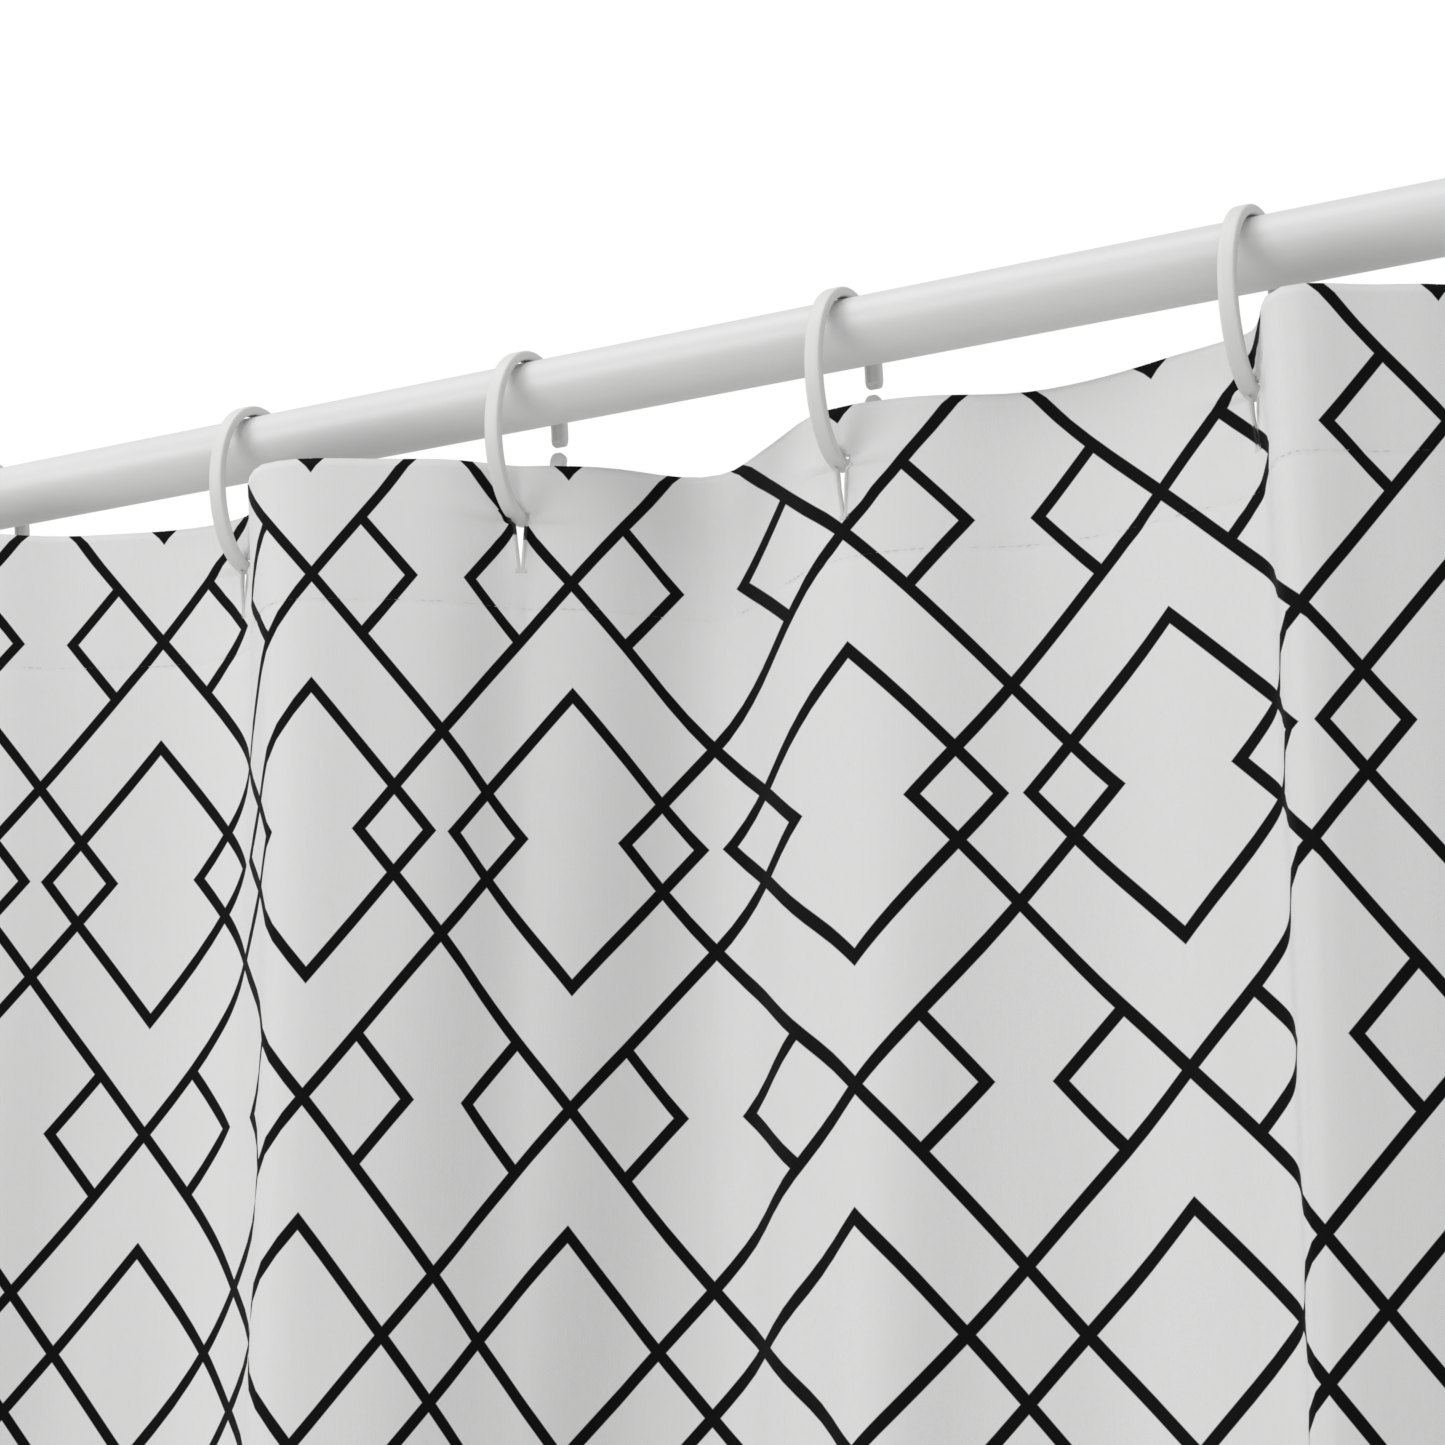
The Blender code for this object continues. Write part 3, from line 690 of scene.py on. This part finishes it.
def buildSheet(name, shape, columns, rows, offset, thickness, flatOf, front, back):
    # one layer of cloth in cells between columns and rows, with its slits cut
    holes = {int(np.argmin(np.abs(columns - h))) for h in holePlaces if columns[0] < h < columns[-1]}
    inSlit = (rows > buttonhole["top"] + 1e-9) & (rows < buttonhole["end"] - 1e-9)
    index = -np.ones((len(rows), len(columns), 2), int)
    across, down, side = [], [], []
    for r, v in enumerate(rows):
        for c, u in enumerate(columns):
            twin = c in holes and inSlit[r]
            for k in (0, 1):
                if k and not twin:
                    index[r, c, 1] = index[r, c, 0]
                    continue
                index[r, c, k] = len(across)
                across.append(u)
                down.append(v)
                side.append((1 if k else -1) if twin else 0)
    across, down, side = np.array(across), np.array(down), np.array(side)
    moved = openSlits(across, down, side)
    normal = shape.normal(moved, down)
    points = shape.at(moved, down) + normal * (offset + relief(across, down))[:, None]
    faces = []
    for r in range(len(rows) - 1):
        for c in range(len(columns) - 1):
            left, right = index[r:r + 2, c, 1], index[r:r + 2, c + 1, 0]
            faces.append((left[0], left[1], right[1], right[0]))
    mesh = bpy.data.meshes.new(name)
    mesh.from_pydata(points.tolist(), [], [tuple(int(i) for i in f) for f in faces])
    loops = np.array([l.vertex_index for l in mesh.loops])
    places = {"flat": flatOf(across, down), "print": flatOf(laidPlace(shape, across, down), down)}
    for label, (u, v) in places.items():
        layer = mesh.uv_layers.new(name=label)
        layer.data.foreach_set("uv", np.stack([u[loops], v[loops]], axis=1).ravel())
    mesh.materials.append(front)
    mesh.materials.append(back)
    mesh.shade_smooth()
    made = addObject(name, mesh)
    wall = made.modifiers.new("thickness", "SOLIDIFY")
    wall.thickness = thickness
    wall.offset = 0
    wall.material_offset = 1
    wall.material_offset_rim = 0
    return settled(made)


def hang(made, node):
    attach(made, "curtain")
    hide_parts(node)
    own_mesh(made)


def addCloth(shape, materials):
    width, height = cloth["width"], cloth["height"]
    foot, side = height - hems["bottom"], hems["side"]
    sideRows = clothRows(hems["top"] + hems["clear"], foot - hems["clear"])
    behind = -(cloth["thickness"] + hems["thickness"]) / 2 - hems["gap"]
    panel = buildSheet(
        "curtain", shape, clothColumns(0, width), clothRows(0, height), 0.0, cloth["thickness"],
        lambda u, v: (u, v), materials["cloth"], materials["reverse"])
    print("cloth panel", len(panel.data.polygons), "faces")
    # a turned-over hem carries on the flat cut past the fold
    layers = {
        "topHem": ("top_hem", clothColumns(0, width), clothRows(0, hems["top"]), lambda u, v: (u, -v)),
        "bottomHem": ("bottom_hem", clothColumns(0, width), spaced([], cloth["rowStep"], foot, height),
                      lambda u, v: (u, 2 * height - v)),
        "leftSideHem": ("left_side_hem", spaced([], side / 2, 0, side), sideRows, lambda u, v: (-u, v)),
        "rightSideHem": ("right_side_hem", spaced([], side / 2, width - side, width), sideRows,
                         lambda u, v: (2 * width - u, v)),
    }
    made = []
    for name, (node, columns, rows, flatOf) in layers.items():
        hem = buildSheet(name, shape, columns, rows, behind, hems["thickness"], flatOf,
                         materials["reverse"], materials["cloth"])
        hang(hem, node)
        made.append(hem)
    hang(panel, "curtain_panel")
    return panel, made


ring = {"height": 0.068, "depth": 0.0475, "width": 0.0062, "thickness": 0.0035, "egg": 0.10,
        "mouth": 0.0026, "mouthDrop": 0.0305, "corner": 0.0009, "rib": 0.00006, "tip": 0.0032,
        "tipWidth": 0.02, "tipThick": 0.10, "tipBlunt": 0.3, "upperCorner": 0.45, "steps": 96}
# hollow in the ring's inner face; start, stop and the lengths it fades over are in tip lengths
channel = {"depth": 0.0011, "width": 0.0038, "wall": 0.0004, "start": 0.6, "startFade": 0.2, "stop": 9,
           "stopFade": 2, "flatUnder": 0.35}


def ringSection(hollow):
    # strip seen end on, as (along the rod, outward); hollow sinks a channel in the inner face
    w, t, c = ring["width"] / 2, ring["thickness"] / 2, ring["corner"]
    points = []
    corners = ((w - c, t - c, 0), (c - w, t - c, 90), (c - w, c - t, 180), (w - c, c - t, 270))
    for x0, y0, start in corners:
        for k in range(4):
            a = math.radians(start + 30 * k)
            points.append((x0 + c * math.cos(a), y0 + c * math.sin(a)))
        if start == 0:
            for n, x in enumerate((0.0014, 0.00105, 0.00065, 0, -0.00065, -0.00105, -0.0014)):
                points.append((x, t + n % 2 * ring["rib"]))
        if start == 180:
            half, wall = channel["width"] / 2, channel["wall"]
            for x, sink in ((-half, 0), (-half + wall, 1), (half - wall, 1), (half, 0)):
                points.append((x, -t + sink * channel["depth"] * hollow))
    return points


def ringMesh():
    r = ring
    halfDepth, halfHeight = (r["depth"] - r["thickness"]) / 2, (r["height"] - r["thickness"]) / 2
    middle = ringTop - r["height"] / 2
    mouth = math.asin((ringTop - r["mouthDrop"] - middle) / halfHeight)
    start = mouth + r["mouth"] / 2 / halfHeight
    end = mouth + 2 * math.pi - r["mouth"] / 2 / halfHeight
    tip = r["tip"] / halfHeight
    fine = [tip * (1 - math.cos(math.radians(a))) for a in range(0, 90, 10)]
    angles = [start + t for t in fine] + list(np.linspace(start + tip, end - tip, r["steps"]))
    angles += [end - t for t in reversed(fine)]
    bm = bmesh.new()
    loops = []
    for a in angles:
        s, c = math.sin(a), math.cos(a)
        centre = Vector((0, halfDepth * c * (1 + r["egg"] * s), middle + halfHeight * s))
        slope = Vector((0, halfDepth * (-s + r["egg"] * math.cos(2 * a)), halfHeight * c)).normalized()
        outward = Vector((0, slope.z, -slope.y))
        upperEnd = a - start < end - a
        near = min(a - start, end - a)
        wide = math.sqrt(max(r["tipWidth"], 1 - (1 - min(near / tip, 1)) ** 2))
        thick = math.sqrt(max(r["tipThick"], 1 - (1 - min(near / (tip * r["tipBlunt"]), 1)) ** 2))
        if upperEnd:
            wide = 1 - r["upperCorner"] * (1 - wide)
        upper = min(1, max(0, (a - start - channel["start"] * tip) / (channel["startFade"] * tip)))
        lower = min(1, max(0, (end - a - channel["stop"] * tip) / (channel["stopFade"] * tip)))
        under = 1 - math.exp(-((a - 1.5 * math.pi) / channel["flatUnder"]) ** 2)
        loops.append([bm.verts.new(centre + Vector((x * wide, 0, 0)) + outward * (out * thick))
                      for x, out in ringSection(upper * lower * under)])
    for one, two in zip(loops, loops[1:]):
        for k in range(len(one)):
            j = (k + 1) % len(one)
            bm.faces.new((one[k], one[j], two[j], two[k]))
    bm.faces.new(loops[0])
    bm.faces.new(loops[-1])
    bmesh.ops.recalc_face_normals(bm, faces=bm.faces)
    mesh = bpy.data.meshes.new("ring")
    bm.to_mesh(mesh)
    bm.free()
    return mesh


def addRings(materials):
    master = ringMesh()
    for name, x in zip(ringNames, ringPlaces):
        mesh = master.copy()
        mesh.transform(Matrix.Translation((x, 0, 0)))
        finish("c" + name.title().replace("_", ""), mesh, materials["ring"], name, name)
    bpy.data.meshes.remove(master)
    print("rings", ringCount)


rod = {"wall": 0.0012, "edge": 0.0004, "lengths": 8, "steps": 96}
ends = {"plate": 0.003, "collarWall": 0.0030, "fit": 0.0003, "coverFit": 0.0004, "coverWall": 0.0015,
        "lip": 0.004, "screwHead": 0.0078, "headHeight": 0.0024, "shank": 0.0040, "recess": 0.0012,
        "thread": 0.0014, "root": 0.72, "slot": 0.0009, "slotReach": 1.15, "grub": 0.0040,
        "grubEdge": 0.0004, "coverSteps": 12, "steps": 96, "screwSteps": 24}
socketEdges = {1: 0.0005, 2: 0.0012, 3: 0.0008, 4: 0.0009, 5: 0.0004}


def addRod(materials):
    low, high = (float(c[0]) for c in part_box("rod_tube"))
    inner, e = rodRadius - rod["wall"], rod["edge"]
    profile = [(low, inner), (low, rodRadius - e), (low + e, rodRadius)]
    profile += [(low + (high - low) * k / rod["lengths"], rodRadius) for k in range(1, rod["lengths"])]
    profile += [(high - e, rodRadius), (high, rodRadius - e), (high, inner)]
    finish("rod", turned("rod", profile, rod["steps"]), materials["rod"], "rod", "rod_tube")


def socketProfile(depth, radius):
    bore = rodRadius + ends["fit"]
    collar = bore + ends["collarWall"]
    plate = ends["plate"]
    profile = [(0, 0), (0, radius), (plate, radius), (plate, collar), (depth, collar), (depth, bore),
               (plate, bore), (plate, 0)]
    return rounded(profile, socketEdges)


def coverProfile(low, high, radius):
    bore = rodRadius + ends["fit"] + ends["collarWall"] + ends["coverFit"]
    wall, rise = ends["coverWall"], high - low - ends["lip"]
    fall = radius - bore - wall
    lip = low + ends["lip"]
    turns = [k / ends["coverSteps"] * math.pi / 2 for k in range(1, ends["coverSteps"] + 1)]
    outer, inner = [(low, radius), (lip, radius)], []
    for a in turns:
        outer.append((lip + rise * math.sin(a), radius - fall * (1 - math.cos(a))))
    for a in reversed(turns):
        away = (fall - wall) * (1 - math.cos(a))
        inner.append((lip + (rise - wall) * math.sin(a), radius - wall - away))
    return outer + [(high, bore), (high - wall, bore)] + inner + [(low, radius - wall)]


def screwMesh(name, length):
    # pan head with a cross recess, seated at x = 0, shank towards -x with a raised thread
    head, shank, tall = ends["screwHead"] / 2, ends["shank"] / 2, ends["headHeight"]
    pitch, root = ends["thread"], shank * ends["root"]
    profile = [(tall, 0)]
    for a in np.radians((20, 40, 60, 78, 90)):
        profile.append((tall * (0.45 + 0.55 * math.cos(a)), head * math.sin(a)))
    profile += [(0, head), (0, shank)]
    for k in range(int((length - 2 * shank) / pitch)):
        x = -pitch * (k + 0.2)
        profile += [(x, root), (x - 0.4 * pitch, shank), (x - 0.55 * pitch, shank)]
    profile += [(-length + 2 * shank, root), (-length, 0)]
    made = addObject(name, turned(name, profile, ends["screwSteps"]))
    for turn in (0, 90):
        bar = addObject("bar", bpy.data.meshes.new("bar"))
        bm = bmesh.new()
        bmesh.ops.create_cube(bm, size=1.0)
        size = Matrix.Diagonal((ends["recess"] * 2, ends["slot"], head * ends["slotReach"], 1))
        way = Matrix.Rotation(math.radians(turn), 4, "X")
        bm.transform(Matrix.Translation((tall, 0, 0)) @ way @ size)
        bm.to_mesh(bar.data)
        bm.free()
        cut = made.modifiers.new("recess", "BOOLEAN")
        cut.operation = "DIFFERENCE"
        cut.solver = "EXACT"
        cut.object = bar
        settled(made)
        bpy.data.objects.remove(bar)
    done = made.data.copy()
    bpy.data.objects.remove(made)
    return done


def addWallScrew(side, n, material):
    node = f"{side}_wall_screw_{n}"
    low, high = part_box(node)
    middle, tall = middleOf(node), ends["headHeight"]
    seat = (high[0] - tall) if side == "left" else (low[0] + tall)
    mesh = screwMesh("screw", high[0] - low[0] - tall)
    turn = Matrix.Identity(4) if side == "left" else Matrix.Rotation(math.pi, 4, "Z")
    mesh.transform(Matrix.Translation((seat, middle[1], middle[2])) @ turn)
    finish(f"{side}WallScrew{n}", mesh, material, "rod", node)


def addGrubScrew(side, material):
    # a short bolt with a hollow in its outer end
    node = f"{side}_grub_screw"
    low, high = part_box(node)
    r, long = ends["grub"] / 2, high[2] - low[2]
    outline = [(0, 0), (0, r), (long, r), (long, r * 0.5), (long * 0.5, r * 0.45), (long * 0.45, 0)]
    mesh = turned("grub", rounded(outline, {1: ends["grubEdge"]}), ends["screwSteps"])
    top = Matrix.Translation((middleOf(node)[0], 0, high[2]))
    mesh.transform(top @ Matrix.Rotation(math.pi / 2, 4, "Y"))
    finish(f"{side}GrubScrew", mesh, material, "rod", node)


def addWallEnds(materials):
    for side in ("left", "right"):
        socketLow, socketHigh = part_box(f"{side}_socket")
        coverLow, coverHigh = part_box(f"{side}_cover")
        face = Matrix.Identity(4)
        if side == "right":
            face = Matrix.Translation((socketHigh[0], 0, 0)) @ Matrix.Rotation(math.pi, 4, "Z")
        gap = coverLow[0] if side == "left" else socketHigh[0] - coverHigh[0]
        far = gap + coverHigh[0] - coverLow[0]
        outlines = {
            "socket": socketProfile(socketHigh[0] - socketLow[0], (socketHigh[2] - socketLow[2]) / 2),
            "cover": coverProfile(gap, far, (coverHigh[2] - coverLow[2]) / 2),
        }
        for label, outline in outlines.items():
            mesh = turned(label, outline, ends["steps"])
            mesh.transform(face)
            name, node = f"{side}{label.title()}", f"{side}_{label}"
            finish(name, mesh, materials["fitting"], "rod", node)
        for n in (1, 2, 3):
            addWallScrew(side, n, materials["steel"])
        addGrubScrew(side, materials["steel"])
    print("rod and wall ends")


# spacing, length and thread are those of single stitches, and lift raises them off the cloth
seams = {"spacing": 0.0031, "length": 0.0023, "thread": 0.00022, "lift": -0.00002, "across": 0.0,
         "inset": 0.0012, "bottomInset": 0.0015, "step": 0.003, "sideStep": 0.006,
         "sideStart": 0.004, "clear": 0.002}
# the edging runs down both sides of a slit, with one bar above it and two below
edging = {"spacing": 0.00040, "length": 0.0015, "thread": 0.00032, "lift": 0.00002, "across": 1.0,
          "outward": 0.42, "start": 0.0002, "steps": 40, "barHalf": 0.0020, "barSteps": 12,
          "barAbove": 0.0010, "barsBelow": (0.0004, 0.0012)}


def stitchTree():
    # a bead of thread at every stitch along a line, lengthways (across 0) or crossways (across 1)
    inputs = {"Geometry": "Geometry", "Spacing": "Float", "Length": "Float", "Thread": "Float",
              "Across": "Float", "Material": "Material"}
    tree = newGroup("stitchRow", inputs, {"Geometry": "Geometry"}, "GeometryNodeTree")
    nodes, links = tree.nodes, tree.links
    source, result = nodes["Group Input"].outputs, nodes["Group Output"].inputs
    curve = nodes.new("GeometryNodeMeshToCurve")
    links.new(source["Geometry"], curve.inputs[0])
    even = nodes.new("GeometryNodeResampleCurve")
    even.mode = "LENGTH"
    links.new(curve.outputs[0], even.inputs["Curve"])
    links.new(source["Spacing"], even.inputs["Length"])
    along = nodes.new("GeometryNodeInputTangent").outputs[0]
    facing = nodes.new("GeometryNodeInputNamedAttribute")
    facing.data_type = "FLOAT_VECTOR"
    facing.inputs["Name"].default_value = "facing"
    cross = nodes.new("ShaderNodeVectorMath")
    cross.operation = "CROSS_PRODUCT"
    links.new(along, cross.inputs[0])
    links.new(facing.outputs["Attribute"], cross.inputs[1])
    way = nodes.new("ShaderNodeMix")
    way.data_type = "VECTOR"
    links.new(source["Across"], way.inputs["Factor"])
    links.new(along, way.inputs[4])
    links.new(cross.outputs[0], way.inputs[5])
    turn = nodes.new("FunctionNodeAlignRotationToVector")
    turn.axis = "X"
    links.new(way.outputs[1], turn.inputs["Vector"])
    bead = nodes.new("GeometryNodeMeshUVSphere")
    bead.inputs["Segments"].default_value = 6
    bead.inputs["Rings"].default_value = 4
    bead.inputs["Radius"].default_value = 0.5
    size = nodes.new("ShaderNodeCombineXYZ")
    links.new(source["Thread"], size.inputs[0])
    links.new(source["Thread"], size.inputs[1])
    links.new(source["Length"], size.inputs[2])
    onX = nodes.new("GeometryNodeTransform")
    links.new(bead.outputs["Mesh"], onX.inputs["Geometry"])
    links.new(size.outputs[0], onX.inputs["Scale"])
    onX.inputs["Rotation"].default_value = (0, math.pi / 2, 0)
    sew = nodes.new("GeometryNodeInstanceOnPoints")
    links.new(even.outputs[0], sew.inputs["Points"])
    links.new(onX.outputs[0], sew.inputs["Instance"])
    links.new(turn.outputs[0], sew.inputs["Rotation"])
    whole = nodes.new("GeometryNodeRealizeInstances")
    links.new(sew.outputs[0], whole.inputs[0])
    paint = nodes.new("GeometryNodeSetMaterial")
    links.new(whole.outputs[0], paint.inputs["Geometry"])
    links.new(source["Material"], paint.inputs["Material"])
    links.new(paint.outputs[0], result["Geometry"])
    return tree


def sewn(name, rows, tree, values, material):
    # stitches along rows made by sewingRow
    paths, normals, laid = zip(*rows)
    points, edges = [], []
    for path in paths:
        edges += [(len(points) + k, len(points) + k + 1) for k in range(len(path) - 1)]
        points += path.tolist()
    mesh = bpy.data.meshes.new(name)
    mesh.from_pydata(points, edges, [])
    facing = mesh.attributes.new("facing", "FLOAT_VECTOR", "POINT")
    facing.data.foreach_set("vector", np.vstack(normals).astype(np.float32).ravel())
    ground = mesh.attributes.new("laid", "FLOAT_VECTOR", "POINT")
    ground.data.foreach_set("vector", np.vstack(laid).astype(np.float32).ravel())
    made = addObject(name, mesh)
    sewing = made.modifiers.new("stitches", "NODES")
    sewing.node_group = tree
    sockets = {s.name: s.identifier for s in tree.interface.items_tree if s.in_out == "INPUT"}
    for label in ("Spacing", "Length", "Thread", "Across"):
        sewing[sockets[label]] = values[label.lower()]
    sewing[sockets["Material"]] = material
    settled(made)
    made.data.shade_smooth()
    return made


def sewingRow(shape, across, down, lift, moved=None):
    # one row of stitches: its path on the cloth, the cloth's normals and its places in the print;
    # moved says where the flat places have been pushed to
    moved = across if moved is None else moved
    normal = shape.normal(moved, down)
    path = shape.at(moved, down) + normal * (relief(across, down) + lift)[:, None]
    return path, normal, np.stack([laidPlace(shape, moved, down), down, np.zeros_like(down)], axis=1)


def hemRows(shape, lifts):
    s, width, foot = seams, cloth["width"], cloth["height"] - hems["bottom"]
    across = np.arange(s["step"], width - s["clear"], s["step"])
    down = np.arange(hems["top"] + s["sideStart"], foot - s["clear"], s["sideStep"])
    lines = [
        (across, np.full_like(across, hems["top"] - s["inset"])),
        (across, np.full_like(across, foot + s["bottomInset"])),
        (np.full_like(down, hems["side"] - s["inset"]), down),
        (np.full_like(down, width - hems["side"] + s["inset"]), down),
    ]
    return [sewingRow(shape, u, v, lift) for u, v in lines for lift in lifts]


def edgingRows(shape, hole, lifts):
    b, e = buttonhole, edging
    down = np.linspace(b["top"] - e["start"], b["end"], e["steps"])
    bar = hole + np.linspace(-e["barHalf"], e["barHalf"], e["barSteps"])
    rows = []
    for lift in lifts:
        for side in (-1, 1):
            slit = np.full_like(down, hole)
            beside = slit + side * (slitWidth(down) / 2 + e["length"] * e["outward"])
            rows.append(sewingRow(shape, slit, down, lift, beside))
        for end in (b["top"] - e["barAbove"], *[b["end"] + d for d in e["barsBelow"]]):
            rows.append(sewingRow(shape, bar, np.full_like(bar, end), lift))
    return rows


def addSewing(shape, materials):
    tree, thread = stitchTree(), materials["thread"]
    front = cloth["thickness"] / 2
    back = -front - hems["gap"] - hems["thickness"] - seams["lift"]
    seam = sewn("hemStitches", hemRows(shape, (front + seams["lift"], back)), tree, seams, thread)
    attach(seam, "curtain")
    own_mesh(seam)
    edges = []
    for name, hole in zip(stitchNames, holePlaces):
        rows = edgingRows(shape, hole, (front + edging["lift"], back - edging["lift"]))
        made = sewn("edging" + name[-2:], rows, tree, edging, thread)
        hang(made, name)
        edges.append(made)
    print("sewing", len(seam.data.polygons), "faces in the hems")
    return seam, edges


materials = makeMaterials()
addCamera(viewPoint)
addStudio()
addRod(materials)
addWallEnds(materials)
addRings(materials)
columns, rows, grid = hangCage()
shape = ClothShape(columns, rows, grid)
print("cloth hung", grid.shape)
panel, hemPieces = addCloth(shape, materials)
seam, edges = addSewing(shape, materials)
